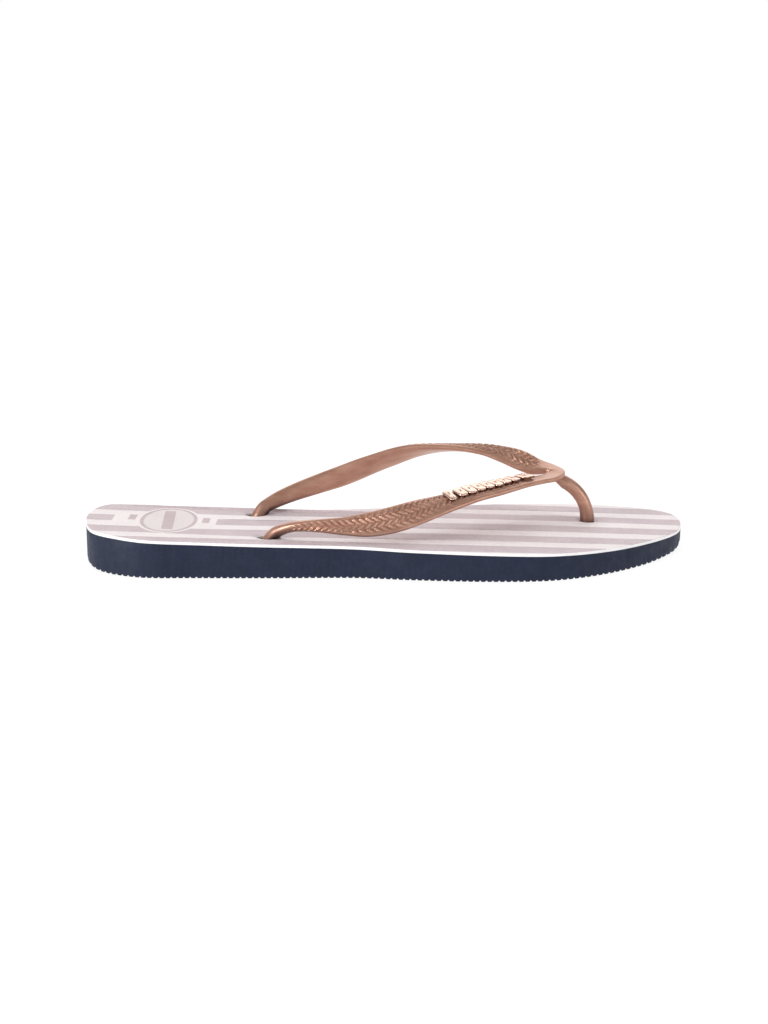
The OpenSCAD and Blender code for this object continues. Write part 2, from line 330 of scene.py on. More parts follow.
def coordinates(tree, scale=(1, 1, 1), turn=0, turn_y=0):
    """Object coordinates in metres, scaled along the axes and then turned round Y and Z, in degrees."""
    source = tree.nodes.new("ShaderNodeTexCoord")
    mapping = tree.nodes.new("ShaderNodeMapping")
    mapping.inputs["Scale"].default_value = scale
    mapping.inputs["Rotation"].default_value = (0, math.radians(turn_y), math.radians(turn))
    tree.links.new(source.outputs["Object"], mapping.inputs["Vector"])
    return mapping.outputs["Vector"]


def noise(tree, vector, size, detail=2.0):
    """Noise whose features are about size millimetres."""
    node = tree.nodes.new("ShaderNodeTexNoise")
    node.inputs["Scale"].default_value = 1 / (size * MM)
    node.inputs["Detail"].default_value = detail
    tree.links.new(vector, node.inputs["Vector"])
    return node.outputs["Fac"]


def cells(tree, vector, size):
    """Distance to the nearest of scattered points, which lie about size millimetres apart."""
    node = tree.nodes.new("ShaderNodeTexVoronoi")
    node.inputs["Scale"].default_value = 1 / (size * MM)
    tree.links.new(vector, node.inputs["Vector"])
    return node.outputs["Distance"]


def remap(tree, value, low, high, new_low, new_high):
    """The value with low to high stretched over new_low to new_high, and clamped there."""
    node = tree.nodes.new("ShaderNodeMapRange")
    node.inputs["From Min"].default_value = low
    node.inputs["From Max"].default_value = high
    node.inputs["To Min"].default_value = new_low
    node.inputs["To Max"].default_value = new_high
    tree.links.new(value, node.inputs["Value"])
    return node.outputs["Result"]


def product(tree, first, second):
    """Two sockets multiplied."""
    node = tree.nodes.new("ShaderNodeMath")
    node.operation = "MULTIPLY"
    tree.links.new(first, node.inputs[0])
    tree.links.new(second, node.inputs[1])
    return node.outputs["Value"]


def height_of(tree, vector):
    """The Z of a vector."""
    split = tree.nodes.new("ShaderNodeSeparateXYZ")
    tree.links.new(vector, split.inputs["Vector"])
    return split.outputs["Z"]


def mix(tree, factor, first, second):
    """Blend of two colours; each is a colour or a socket."""
    node = tree.nodes.new("ShaderNodeMix")
    node.data_type = "RGBA"
    tree.links.new(factor, node.inputs["Factor"])
    color_inputs = [s for s in node.inputs if s.type == "RGBA"]
    for value, socket in zip((first, second), color_inputs):
        if isinstance(value, tuple):
            socket.default_value = (*value, 1)
        else:
            tree.links.new(value, socket)
    return [s for s in node.outputs if s.type == "RGBA"][0]


def bump(tree, shader, height, distance, base=None):
    """Relief distance millimetres deep, on top of base where that is given."""
    node = tree.nodes.new("ShaderNodeBump")
    node.inputs["Distance"].default_value = distance * MM
    tree.links.new(height, node.inputs["Height"])
    if base is not None:
        tree.links.new(base, node.inputs["Normal"])
    tree.links.new(node.outputs["Normal"], shader.inputs["Normal"])
    return node.outputs["Normal"]


def navy_rubber():
    """Foamed navy rubber, faintly clouded and flecked."""
    material, tree, shader = new_material("navy_rubber", specular=0.35)
    at = coordinates(tree)
    clouds = remap(tree, noise(tree, at, 9, 3), 0.35, 0.65, 0, 1)
    clouded = mix(tree, clouds, (0.0035, 0.0085, 0.03), (0.0055, 0.0118, 0.037))
    flecks = remap(tree, noise(tree, at, 0.7, 2), 0.55, 0.8, 0, 0.5)
    color = mix(tree, flecks, clouded, (0.022, 0.032, 0.066))
    tree.links.new(color, shader.inputs["Base Color"])
    roughness = remap(tree, noise(tree, at, 4, 4), 0.3, 0.7, 0.52, 0.7)
    tree.links.new(roughness, shader.inputs["Roughness"])
    grain = bump(tree, shader, noise(tree, at, 0.5, 3), 0.05)
    bump(tree, shader, noise(tree, at, 5, 1), 0.1, base=grain)
    return material


def rice_grain(name, light, dark, roughest=0.72):
    """Rubber with short raised grains, 1.5 mm along the sole and 0.75 mm across it."""
    material, tree, shader = new_material(name, specular=0.3)
    at = coordinates(tree)
    spread = cells(tree, coordinates(tree, (1, 2, 1), 35), 1.5)
    wear = noise(tree, at, 12, 3)
    grained = mix(tree, remap(tree, spread, 0.3, 0.8, 0, 0.55), light, dark)
    color = mix(tree, remap(tree, wear, 0.4, 0.75, 0, 0.3), grained, dark)
    tree.links.new(color, shader.inputs["Base Color"])
    tree.links.new(remap(tree, wear, 0.3, 0.7, 0.55, roughest), shader.inputs["Roughness"])
    fine = bump(tree, shader, noise(tree, at, 0.35, 2), 0.03)
    bump(tree, shader, remap(tree, spread, 0.15, 0.65, 1, 0), 0.12, base=fine)
    return material


def bed_rubber():
    """The off-white top of the sheet."""
    return rice_grain("bed_rubber", (0.88, 0.81, 0.81), (0.78, 0.70, 0.705))


def emblem_ground():
    """The ground inside the heel's ring, a shade greyer than the rest of the sheet."""
    return rice_grain("emblem_ground", (0.78, 0.71, 0.705), (0.70, 0.63, 0.63))


def stripe_ink():
    return rice_grain("stripe_ink", (0.64, 0.54, 0.56), (0.51, 0.415, 0.44))


def emblem_ink():
    return rice_grain("emblem_ink", (0.60, 0.49, 0.505), (0.50, 0.40, 0.42), 0.7)


def raw_white_rubber():
    """The cut side of the top sheet."""
    material, tree, shader = new_material("raw_white_rubber", roughness=0.55)
    at = coordinates(tree)
    clouds = remap(tree, noise(tree, at, 6, 3), 0.4, 0.7, 0, 1)
    color = mix(tree, clouds, (0.95, 0.93, 0.93), (0.88, 0.855, 0.855))
    tree.links.new(color, shader.inputs["Base Color"])
    bump(tree, shader, noise(tree, at, 0.5, 2), 0.03)
    return material


PAINTED_SHADE_REACH = 8         # the strap's painted shade ends this far above the sole's top
PAINTED_SHADE_START = (5, 9)    # heights between which the painted shade sets in, which leaves the plugs without it


def strap_painted_shade(tree):
    """1 where shade is painted on the strap: low down, at its stems, and most on faces that look down.
    """
    height = height_of(tree, coordinates(tree, turn_y=-math.degrees(SOLE_TAPER)))
    sole_top = OUTSOLE_H + FOOTBED_T
    low = remap(tree, height, sole_top * MM, (sole_top + PAINTED_SHADE_REACH) * MM, 1, 0)
    above_plugs = remap(tree, height, PAINTED_SHADE_START[0] * MM, PAINTED_SHADE_START[1] * MM, 0, 1)
    geometry = tree.nodes.new("ShaderNodeNewGeometry")
    facing_down = remap(tree, height_of(tree, geometry.outputs["Normal"]), -0.3, 0.5, 1, 0.15)
    return product(tree, product(tree, low, above_plugs), facing_down)


def strap_rubber():
    """Rubber with a copper-rose pearl: a soft metallic base under a satin skin."""
    material, tree, shader = new_material("strap_rubber", metallic=0.6, specular=0.55)
    shader.inputs["Sheen Weight"].default_value = 0.2
    shader.inputs["Sheen Roughness"].default_value = 0.3
    shader.inputs["Sheen Tint"].default_value = (1, 0.85, 0.8, 1)
    at = coordinates(tree)
    flow = noise(tree, coordinates(tree, (0.25, 1, 1)), 3, 3)
    swirl = mix(tree, remap(tree, flow, 0.35, 0.65, 0, 1), (0.44, 0.225, 0.155), (0.54, 0.3, 0.215))
    flakes = remap(tree, noise(tree, at, 0.25, 1), 0.55, 0.75, 0, 0.6)
    pearl = mix(tree, flakes, swirl, (0.74, 0.5, 0.41))
    # Painted shade: the strap turns near black low down by its stems and on faces that look down.
    with_painted_shade = mix(tree, strap_painted_shade(tree), pearl, (0.03, 0.012, 0.01))
    tree.links.new(with_painted_shade, shader.inputs["Base Color"])
    tree.links.new(remap(tree, flow, 0.3, 0.7, 0.28, 0.4), shader.inputs["Roughness"])
    bump(tree, shader, noise(tree, at, 0.4, 2), 0.02)
    return material


def rose_gold(name, smoothest, roughest):
    """Plated metal with faint handling marks."""
    material, tree, shader = new_material(name, metallic=1.0)
    at = coordinates(tree)
    tone = mix(tree, noise(tree, at, 2.5, 2), (0.97, 0.72, 0.60), (0.92, 0.63, 0.51))
    tree.links.new(tone, shader.inputs["Base Color"])
    marks = noise(tree, coordinates(tree, (1, 6, 1), 30), 1.2, 4)
    tree.links.new(remap(tree, marks, 0.35, 0.7, smoothest, roughest), shader.inputs["Roughness"])
    bump(tree, shader, noise(tree, at, 0.6, 3), 0.02)
    return material


def painted_shade_metal():
    """The beads' sides: duller than their polished tops, and darker with painted shade."""
    material, tree, shader = new_material("trim_painted_shade_metal", metallic=1.0, roughness=0.5)
    at = coordinates(tree)
    # Painted shade: a dark copper tone on the beads' sides.
    tone = mix(tree, noise(tree, at, 1.0, 3), (0.34, 0.17, 0.125), (0.2, 0.095, 0.07))
    tree.links.new(tone, shader.inputs["Base Color"])
    bump(tree, shader, noise(tree, at, 0.5, 3), 0.03)
    return material


# ---- sole ----

OUTLINE_STEPS = 12
DRAFT = 1.4             # how far the wall leans in at the top of the heel
DRAFT_REACH = 6         # distance from the edge at which the lean has died away
DRAFT_X = (-121, -108, -40, 10)
outline = closed_curve(OUTLINE, OUTLINE_STEPS)


def outward(loop):
    """Unit directions out of a counter-clockwise loop, one for each of its points."""
    t = np.roll(loop, -1, axis=0) - np.roll(loop, 1, axis=0)
    t /= np.linalg.norm(t, axis=1)[:, None]
    return np.column_stack([t[:, 1], -t[:, 0]])


def inset(loop, depth):
    """The loop moved inwards by one depth, or by one for each of its points."""
    return loop - outward(loop) * np.reshape(depth, (-1, 1))


def drafted(points):
    """Where points of the sole's top lie: the wall leans in towards it round the heel and waist."""
    directions = outward(outline)
    moved = points.copy()
    for i, p in enumerate(points):
        away = np.linalg.norm(outline - p, axis=1)
        nearest = int(away.argmin())
        lean = DRAFT * plateau(DRAFT_X, p[0]) * (1 - smoothstep(0, DRAFT_REACH, away[nearest]))
        moved[i] = p - directions[nearest] * lean
    return moved


def sole_faces(verts, faces, holes):
    """The faces that lie inside the outline and outside the holes."""
    centre = verts[faces].mean(1)
    keep = inside(centre, outline)
    for hole in holes:
        keep &= ~inside(centre, hole)
    return faces[keep]


EDGE_R = 0.5            # rounding of the outsole's lower edge
HEEL_EDGE = 1.3         # what the heel adds to it
HEEL_EDGE_X = (-112, -123)
TOE_EDGE_DEPTH = 1.4    # what the toe adds, inwards and upwards
TOE_EDGE_HEIGHT = 3.5
TOE_EDGE_X = (104, 122)


def lower_edge(x):
    """Depth and height of the rounding along the outsole's lower edge."""
    toe = smoothstep(*TOE_EDGE_X, x)
    base = EDGE_R + HEEL_EDGE * smoothstep(*HEEL_EDGE_X, x)
    return base + TOE_EDGE_DEPTH * toe, base + TOE_EDGE_HEIGHT * toe


TREAD_PITCH = 2.5
TREAD_LAND = 0.7        # half the width of a rib's flat foot
TREAD_FLOOR = 1.05      # from a rib's middle to where the groove's floor starts
TREAD_DEPTH = 0.5
TREAD_HALF_W = 60       # the grooves' edges run this far to each side, past the outline


def tread(x):
    """How far the underside lies above the ground: 0 on a rib, TREAD_DEPTH in a groove."""
    off = np.abs((np.asarray(x) + TREAD_PITCH / 2) % TREAD_PITCH - TREAD_PITCH / 2)
    return TREAD_DEPTH * np.clip((off - TREAD_LAND) / (TREAD_FLOOR - TREAD_LAND), 0, 1)


def tread_lines():
    """Lines along the edges of each rib's foot and of each groove's floor."""
    ribs = int(SOLE_L / 2 / TREAD_PITCH) + 1
    offsets = (-TREAD_FLOOR, -TREAD_LAND, TREAD_LAND, TREAD_FLOOR)
    xs = [k * TREAD_PITCH + o for k in range(-ribs, ribs + 1) for o in offsets]
    return [[(x, -TREAD_HALF_W), (x, TREAD_HALF_W)] for x in xs]


WELL_WALL = 0.05        # run of a well's wall, which leans in by this much
WELL_SIDES = 48
HOLE_SIDES = 32
LOWER_RINGS = (0.06, 0.22, 0.5, 1.0)    # rings along the lower edge, as shares of its depth


def build_outsole():
    depth, _ = lower_edge(outline[:, 0])
    rings = [inset(outline, depth * share) for share in LOWER_RINGS]
    wells = [circle(s, r, WELL_SIDES) for s in STEMS for r in (WELL_R, WELL_R - WELL_WALL)]
    holes = [circle(s, HOLE_R, HOLE_SIDES) for s in STEMS]
    verts, faces = triangulate([outline] + rings + wells + holes, tread_lines(), None)
    faces = sole_faces(verts, faces, holes)
    x, y = verts[:, 0], verts[:, 1]
    depth, height = lower_edge(x)
    z_top = outsole_top(x) - heel_settling(x, y)
    z_bottom = height * rounding(edge_distance(verts, outline), depth) + tread(x)
    for sx, sy in STEMS:
        z_bottom[np.hypot(x - sx, y - sy) < WELL_R - WELL_WALL / 2] = WELL_DEPTH
    points, all_faces, _ = slab(verts, faces, z_top, z_bottom)
    half = len(points) // 2
    points[:half, :2] = drafted(points[:half, :2])
    piece = make_piece("outsole_rubber", points, all_faces, [navy_rubber()])
    finish_piece(piece, "outsole_rubber", "outsole")


# ---- footbed and print ----

DIMPLE_RADII = (3.6, 4.0, 4.5, 5.0)
DIMPLE_DEPTH = 0.4
HOLE_PULL = 1.8         # how far a rear hole is drawn out towards the heel by the pull of the strap
HOLE_PULL_REACH = 4     # distance behind the hole's middle at which a dimple is drawn out as far


def hole_loop(stem, radius, count=40):
    """A circle round a stem; at the rear stems it is drawn out towards the heel."""
    loop = circle(stem, radius, count)
    if stem[0] < 0:
        back = np.clip((stem[0] - loop[:, 0]) / radius, 0, 1)
        loop[:, 0] -= HOLE_PULL * back ** 2
    return loop


def dimple(verts):
    """How far the sheet dips round its holes."""
    drop = np.zeros(len(verts))
    for sx, sy in STEMS:
        dx, dy = verts[:, 0] - sx, verts[:, 1] - sy
        if sx < 0:
            pulled = dx + HOLE_PULL * np.clip(-dx / HOLE_PULL_REACH, 0, 1)
            dx = np.where(dx < 0, np.minimum(pulled, 0), dx)
        r = np.hypot(dx, dy)
        drop = np.maximum(drop, DIMPLE_DEPTH * (1 - smoothstep(HOLE_R, DIMPLE_RADII[-1], r)))
    return drop


def in_emblem(points, length, width):
    """Which points lie in an oval of this size round the emblem's middle."""
    return (
        ((points[:, 0] - EMBLEM[0]) / (length / 2)) ** 2
        + ((points[:, 1] - EMBLEM[1]) / (width / 2)) ** 2
    ) < 1


BAND_L = 4.6            # the plain band inside the ring
BAND_W = 31
BAND_TURN = 4
MARK_L = 3              # the two marks outside the ring
MARK_W = 8.5
MARK_REACH = 15.3
MARK_SHIFT = 2
EMBLEM_BAND = rectangle(EMBLEM, BAND_L, BAND_W, BAND_TURN)
EMBLEM_MARKS = [
    rectangle((EMBLEM[0] + side * MARK_REACH, EMBLEM[1] + MARK_SHIFT), MARK_L, MARK_W)
    for side in (-1, 1)
]


def on_heel_print(points):
    """Which points the ring, the band and the marks cover."""
    ring = in_emblem(points, EMBLEM_L, EMBLEM_W)
    ring &= ~in_emblem(points, EMBLEM_L - 2 * EMBLEM_LINE, EMBLEM_W - 2 * EMBLEM_LINE)
    found = ring | inside(points, EMBLEM_BAND)
    for mark in EMBLEM_MARKS:
        found |= inside(points, mark)
    return found


def on_stripes(points):
    """Which points the stripes cover: they stop short of the ring and leave out the label's gap."""
    x, y = points[:, 0], points[:, 1]
    nearest = np.round((y - STRIPE_SHIFT) / STRIPE_PITCH)
    found = np.abs(y - STRIPE_SHIFT - nearest * STRIPE_PITCH) < STRIPE_W / 2
    found &= ~in_emblem(points, EMBLEM_L + 2 * EMBLEM_GAP, EMBLEM_W + 2 * EMBLEM_GAP)
    return found & ~((nearest == 0) & (np.abs(x - LABEL_GAP_X) < LABEL_GAP_L / 2))


PRINT_REACH = 130       # the stripes' edges run this far from the origin, past the outline


def print_lines():
    """Lines along the stripes' edges, and across the ends of the gap in the middle one."""
    middles = [k * STRIPE_PITCH + STRIPE_SHIFT for k in range(-2, 3)]
    edges = [y + side * STRIPE_W / 2 for y in middles for side in (-1, 1)]
    lines = [[(-PRINT_REACH, y), (PRINT_REACH, y)] for y in edges]
    for side in (-1, 1):
        x = LABEL_GAP_X + side * LABEL_GAP_L / 2
        lines.append([(x, STRIPE_SHIFT - STRIPE_W / 2), (x, STRIPE_SHIFT + STRIPE_W / 2)])
    return lines


UPPER_RINGS = (0.05, 0.14, 0.3)     # rings along the sheet's upper edge; the last is its rounding
RAW_EDGE = 0.1          # width of the sheet's edge that has no print
BED_GRID = 2.5          # spacing of the sheet's grid points


def footbed_plan():
    """Flat triangles of the sheet, with edges along all that is printed on it."""
    rings = [inset(outline, d) for d in UPPER_RINGS]
    holes = [hole_loop(s, HOLE_R) for s in STEMS]
    dimples = [hole_loop(s, r) for s in STEMS for r in DIMPLE_RADII]
    ovals = [
        oval(EMBLEM_L + growth, EMBLEM_W + growth) for growth in (0, -2 * EMBLEM_LINE, 2 * EMBLEM_GAP)
    ]
    loops = [outline] + rings + holes + dimples + ovals + [EMBLEM_BAND] + EMBLEM_MARKS
    verts, faces = triangulate(loops, print_lines(), BED_GRID)
    return verts, sole_faces(verts, faces, holes)


def build_film(name, verts, faces, top, material, slot, node):
    points, film_faces, _ = slab(verts, faces, top + FILM_T, top - FILM_T)
    finish_piece(make_piece(name, points, film_faces, [material]), slot, node)


def build_footbed():
    verts, faces = footbed_plan()
    centre = verts[faces].mean(1)
    low = outsole_top(verts[:, 0]) - heel_settling(verts[:, 0], verts[:, 1])
    edge_r = UPPER_RINGS[-1]
    top = low + FOOTBED_T - edge_r * rounding(edge_distance(verts, outline), edge_r) - dimple(verts)
    places = drafted(verts)

    printed, raw, ground = range(3)
    near_edge = edge_distance(centre, outline) < RAW_EDGE
    in_ring = in_emblem(centre, EMBLEM_L, EMBLEM_W)
    points, all_faces, tops = slab(places, faces, top, low)
    slots = np.full(len(all_faces), raw)
    slots[:tops] = np.where(near_edge, raw, np.where(in_ring, ground, printed))
    materials = [bed_rubber(), raw_white_rubber(), emblem_ground()]
    bed = make_piece("footbed_sheet", points, all_faces, materials, slots)
    finish_piece(bed, "footbed_rubber", "footbed")

    striped = on_stripes(centre) & ~near_edge
    for s in STEMS:
        striped &= ~inside(centre, hole_loop(s, DIMPLE_RADII[0]))
    build_film("stripe_film", places, faces[striped], top, stripe_ink(), "stripe_ink", "stripe_print")
    marked = on_heel_print(centre)
    build_film("heel_film", places, faces[marked], top, emblem_ink(), "emblem_ink", "heel_print")


# ---- strap ----

PATH_STEPS = 40         # samples of the band's curve from one station to the next
RING_STEP = 0.36        # distance between rings along the band
FACE_SAMPLES = 30       # points across the outer face
BACK_SAMPLES = 12       # points across the inner face
EDGE_SAMPLES = 5        # points round each edge
EDGE_SHARE = 0.93       # share of the half width that the faces take
SQUARENESS = 0.75       # of the band's section: 1 is an oval, 0 a box
CROTCH_SQUARENESS = 0.42
CROTCH_X = (54, 64)     # the section turns from the one squareness to the other
ROUND_END = 9           # length over which each rear end of the band turns round

ROW_W = 2.45            # width of one row of the relief
DASH_PITCH = 2.75
DASH_SLANT = 1.15       # mm along the band for each mm across it
RELIEF = 0.7
DASH_FLANK = (0.25, 0.8)    # shares of the pitch's wave over which a dash rises
DASH_END = 0.35         # length over which a dash falls away at its row's edge
BORDER = 0.22           # smooth margin along each edge, as a share of the half width
BORDER_RUN = 0.6        # length over which the relief falls away to the margin
OUTER_RELIEF_X = (-40, -33, 50, 57)
INNER_RELIEF_X = (-38, -28, 60, 66)


def relief(s, c, half_w, fade):
    """Height of the herringbone, s along and c across the band: rows of slanted dashes."""
    row = np.floor(c / ROW_W)
    q = c - (row + 0.5) * ROW_W
    direction = np.where(row % 2 == 0, 1.0, -1.0)
    phase = (s + direction * DASH_SLANT * q) / DASH_PITCH + 0.5 * (row % 2)
    wave = 0.5 + 0.5 * np.cos(2 * math.pi * phase)
    ridge = smoothstep(*DASH_FLANK, wave)
    ends = smoothstep(0, DASH_END, ROW_W / 2 - np.abs(q))
    margin = smoothstep(0, BORDER_RUN, (1 - BORDER) * half_w - np.abs(c))
    return fade * margin * RELIEF * (ridge * ends - 0.5)


def section(width, thick, squareness):
    """Points of the band's section as (across, through), and which of them are on the outer face."""
    power = 2 / squareness

    def through(share):
        return (1 - abs(share) ** power) ** (squareness / 2)

    edge_angle = math.acos(EDGE_SHARE ** (1 / squareness))
    outer = [(c, through(c)) for c in np.linspace(EDGE_SHARE, -EDGE_SHARE, FACE_SAMPLES)]
    turns = np.linspace(edge_angle, -edge_angle, EDGE_SAMPLES + 2)[1:-1]
    side = [
        (np.cos(a) ** squareness, np.sign(np.sin(a)) * abs(np.sin(a)) ** squareness) for a in turns
    ]
    inner = [(c, -through(c)) for c in np.linspace(-EDGE_SHARE, EDGE_SHARE, BACK_SAMPLES)]
    left = [(-c, t) for c, t in side]
    right = [(c, t) for c, t in reversed(side)]
    shape = np.array(outer + left + inner + right)
    return shape * (width / 2, thick / 2), np.arange(len(shape)) < FACE_SAMPLES


def band_path():
    """Lengths and station values at even steps along the band, from one rear end to the other."""
    u = np.linspace(1, len(STATIONS) - 2, PATH_STEPS * (len(STATIONS) - 3) + 1)
    values = np.array([on_curve(STATIONS, v) for v in u])
    steps = np.linalg.norm(np.diff(values[:, :3], axis=0), axis=1)
    length = np.concatenate([[0], np.cumsum(steps)])
    s = np.linspace(0, length[-1], int(length[-1] / RING_STEP) + 1)
    return s, np.column_stack([np.interp(s, length, values[:, k]) for k in range(values.shape[1])])


def face_normal(t, lean):
    """The way the outer face looks, where the band runs along t and leans by so many degrees."""
    out = unit(np.cross(t, (0, 0, 1)))
    return out * math.cos(math.radians(lean)) + np.cross(out, t) * math.sin(math.radians(lean))


def turned(v, t_from, t_to):
    """v turned by the smallest turn that takes direction t_from to t_to."""
    axis = np.cross(t_from, t_to)
    c = float(np.dot(t_from, t_to))
    return v * c + np.cross(axis, v) + axis * np.dot(axis, v) / (1 + c)


STEM_SINK = 1.0         # a stem's bend ends this far below the outsole's top
STEM_SLANT = 0.75       # sideways run for each mm down, where the bend ends
STEM_PULL = 0.8         # how firmly the bend holds its end directions
STEM_BEND_RINGS = 14
STEM_FOOT_RINGS = 4
STEM_ROUND_RINGS = 10   # rings over which the band's section becomes the stem's
STEM_OVERLAP = 0.3      # how far a stem runs into its plug


def stem_path(stem, start, direction):
    """Rings' places down from the band's end: a smooth bend, then straight down the hole to the plug."""
    sole = float(outsole_top(stem[0]) - heel_settling(*stem))
    top = np.array([stem[0], stem[1], sole - STEM_SINK])
    pull = STEM_PULL * np.linalg.norm(start - top)
    down = unit(np.array([STEM_SLANT * direction[0], STEM_SLANT * direction[1], -1.0]))
    bend = []
    for s in np.linspace(0, 1, STEM_BEND_RINGS + 1)[1:]:
        bend.append(
            (2 * s ** 3 - 3 * s ** 2 + 1) * start + (s ** 3 - 2 * s ** 2 + s) * pull * direction
            + (-2 * s ** 3 + 3 * s ** 2) * top + (s ** 3 - s ** 2) * pull * down
        )
    foot = np.array([stem[0], stem[1], PLUG_Z + PLUG_T - STEM_OVERLAP])
    return bend + [top + (foot - top) * k / STEM_FOOT_RINGS for k in range(1, STEM_FOOT_RINGS + 1)]


def stem_rings(stem, values, tangent, normal, sign):
    """Rings from one end of the band down to its plug. sign is -1 at the band's start."""
    before, width, thick = values[:3], values[3], values[4]
    ahead = sign * tangent
    route = stem_path(stem, before, ahead)
    rings = []
    for k, p in enumerate(route):
        following = route[k + 1] if k + 1 < len(route) else p + (p - before)
        direction = unit(following - before)
        normal = turned(normal, ahead, direction)
        ahead, before = direction, p
        share = min(1, (k + 1) / STEM_ROUND_RINGS)
        wide, deep = (size + (2 * STEM_R - size) * share for size in (width, thick))
        shape, _ = section(wide, deep, 1.0)
        across = np.cross(normal, sign * direction)
        rings.append(p + np.outer(shape[:, 0], across) + np.outer(shape[:, 1], normal))
    return rings


def band_mesh():
    """Both arms and the crotch as one tube, with a stem at each rear end."""
    s, values = band_path()
    places = values[:, :3]
    t = np.gradient(places, axis=0)
    t /= np.linalg.norm(t, axis=1)[:, None]
    n = np.array([face_normal(a, lean) for a, lean in zip(t, values[:, 5])])
    x = places[:, 0]
    outer_side = np.arange(len(s)) < len(s) // 2
    fade = np.where(outer_side, plateau(OUTER_RELIEF_X, x), plateau(INNER_RELIEF_X, x))
    round_end = smoothstep(0, ROUND_END, np.minimum(s, s[-1] - s))
    squared = 1 - SQUARENESS + (SQUARENESS - CROTCH_SQUARENESS) * smoothstep(*CROTCH_X, x)
    squareness = 1 - squared * round_end

    rings = []
    for i, (place, width, thick) in enumerate(zip(places, values[:, 3], values[:, 4])):
        shape, is_outer = section(width, thick, squareness[i])
        across = np.cross(n[i], t[i])
        lift = np.where(is_outer, relief(s[i], shape[:, 0], width / 2, fade[i]), 0)
        rings.append(place + np.outer(shape[:, 0], across) + np.outer(shape[:, 1] + lift, n[i]))
    outer_stem = stem_rings(OUTER_STEM, values[0], t[0], n[0], -1)
    inner_stem = stem_rings(INNER_STEM, values[-1], t[-1], n[-1], 1)
    return tube(outer_stem[::-1] + rings + inner_stem)


def tube(rings):
    """Closed tube through equal rings of points, with flat ends."""
    m = len(rings[0])
    points = np.vstack(rings)
    faces = []
    for i in range(len(rings) - 1):
        for k in range(m):
            a, b = i * m + k, i * m + (k + 1) % m
            faces.append((a, b, b + m, a + m))
    last = (len(rings) - 1) * m
    faces.append(tuple(range(m - 1, -1, -1)))
    faces.append(tuple(last + k for k in range(m)))
    return points, faces


POST_SIDES = 36
POST_RINGS = 48
POST_FOOT_Z = (3.7, 6, 8, 10)       # heights of the rings on the post's straight foot
POST_R = 2.8
POST_FLARE = 0.25       # what the bend's lower end adds to the radius
POST_FLARE_END = 0.25   # share of the bend at which the flare has ended
WEB_START = 0.72        # share of the bend at which the web onto the crotch begins
WEB_SLIMMING = 1.2      # what the web takes off the radius
WEB_REACH = 1.1         # how far the web moves the post outwards, to meet the crotch


def post_mesh():
    """Toe post: from the plug up through the sole, then a bend back to the crotch of the arms."""
    cx, cy, cz = POST_CENTRE
    path = [(cx + POST_BEND_R, z, 0, STEM_R) for z in POST_FOOT_Z]
    for share in np.linspace(0, 1, POST_RINGS):
        a = math.radians(POST_SWEEP * share)
        web = float(smoothstep(WEB_START, 1, share))
        flare = POST_FLARE * float(1 - smoothstep(0, POST_FLARE_END, share))
        bend = POST_BEND_R + WEB_REACH * web
        radius = POST_R + flare - WEB_SLIMMING * web
        path.append((cx + bend * math.cos(a), cz + bend * math.sin(a), a, radius))
    rings = []
    for x, z, a, radius in path:
        flat = circle((0, 0), radius, POST_SIDES)[::-1]
        across = np.array([math.cos(a), 0, math.sin(a)])
        place = np.array([x, cy, z])
        rings.append(place + np.outer(flat[:, 0], across) + np.outer(flat[:, 1], (0, 1, 0)))
    return tube(rings)


PLUG_SIDES = 64


def plug_mesh(stem):
    """Retaining plug: a disc with rounded edges and a raised rim on its lower face."""
    profile = [             # radius, and height above the plug's lower face
        (0.01, 0.45), (4.6, 0.45), (5.0, 0.3), (5.3, 0.0), (6.9, 0.0), (7.5, 0.2), (PLUG_R, 0.7),
        (PLUG_R, 2.2), (7.6, 2.6), (7.0, PLUG_T), (3.2, PLUG_T), (STEM_R, 3.2), (0.01, 3.3),
    ]
    return tube([
        np.column_stack([circle(stem, r, PLUG_SIDES), np.full(PLUG_SIDES, PLUG_Z + z)])
        for r, z in profile
    ])


def build_strap():
    points, faces, start = [], [], 0
    for p, f in [band_mesh(), post_mesh()] + [plug_mesh(s) for s in STEMS]:
        points.append(p)
        faces += [tuple(i + start for i in face) for face in f]
        start += len(p)
    piece = make_piece("thong_strap", np.vstack(points), faces, [strap_rubber()], crease=50)
    bm = bmesh.new()
    bm.from_mesh(piece.data)
    bmesh.ops.recalc_face_normals(bm, faces=bm.faces)
    bm.to_mesh(piece.data)
    bm.free()
    finish_piece(piece, "strap_rubber", "strap")


# ---- metal trim ----

ARM_TABLE = np.array([
    on_curve(STATIONS, u) for u in np.linspace(0, len(OUTER_ARM) + 1, PATH_STEPS * len(OUTER_ARM))
])


def on_arm(x):
    """The station values of the outer arm at x."""
    return np.array([np.interp(x, ARM_TABLE[:, 0], column) for column in ARM_TABLE.T])


BEAD_L = 4.4            # length of a bead along the arm
BEAD_FIRST_L = 3.4
BEAD_LAST_L = 7
BEAD_ROW_SHIFT = 0.7    # moves all beads but the first and last towards the toe
BEAD_UNEVENNESS = 0.04  # share by which the beads are narrower than BEAD_W, give or take as much
BEAD_WOBBLE = 0.03      # how far a bead's outline strays from an even one, as a share of its width
BEAD_SQUARENESS = (0.45, 0.65)      # of a bead's outline, along and across the arm: 1 is an oval
BEAD_SIDES = 48
BEAD_SIDE_RINGS = 4     # rings of faces, from the bottom up, that form a bead's side with painted shade


def bead_places():
    """Place along X and length of each bead."""
    start = BEAD_FIRST_X + BEAD_ROW_SHIFT
    middle = [(start + i * BEAD_STEP_X, BEAD_L) for i in range(1, BEAD_COUNT - 1)]
    return [(BEAD_FIRST_X, BEAD_FIRST_L)] + middle + [(BEAD_LAST_X, BEAD_LAST_L)]


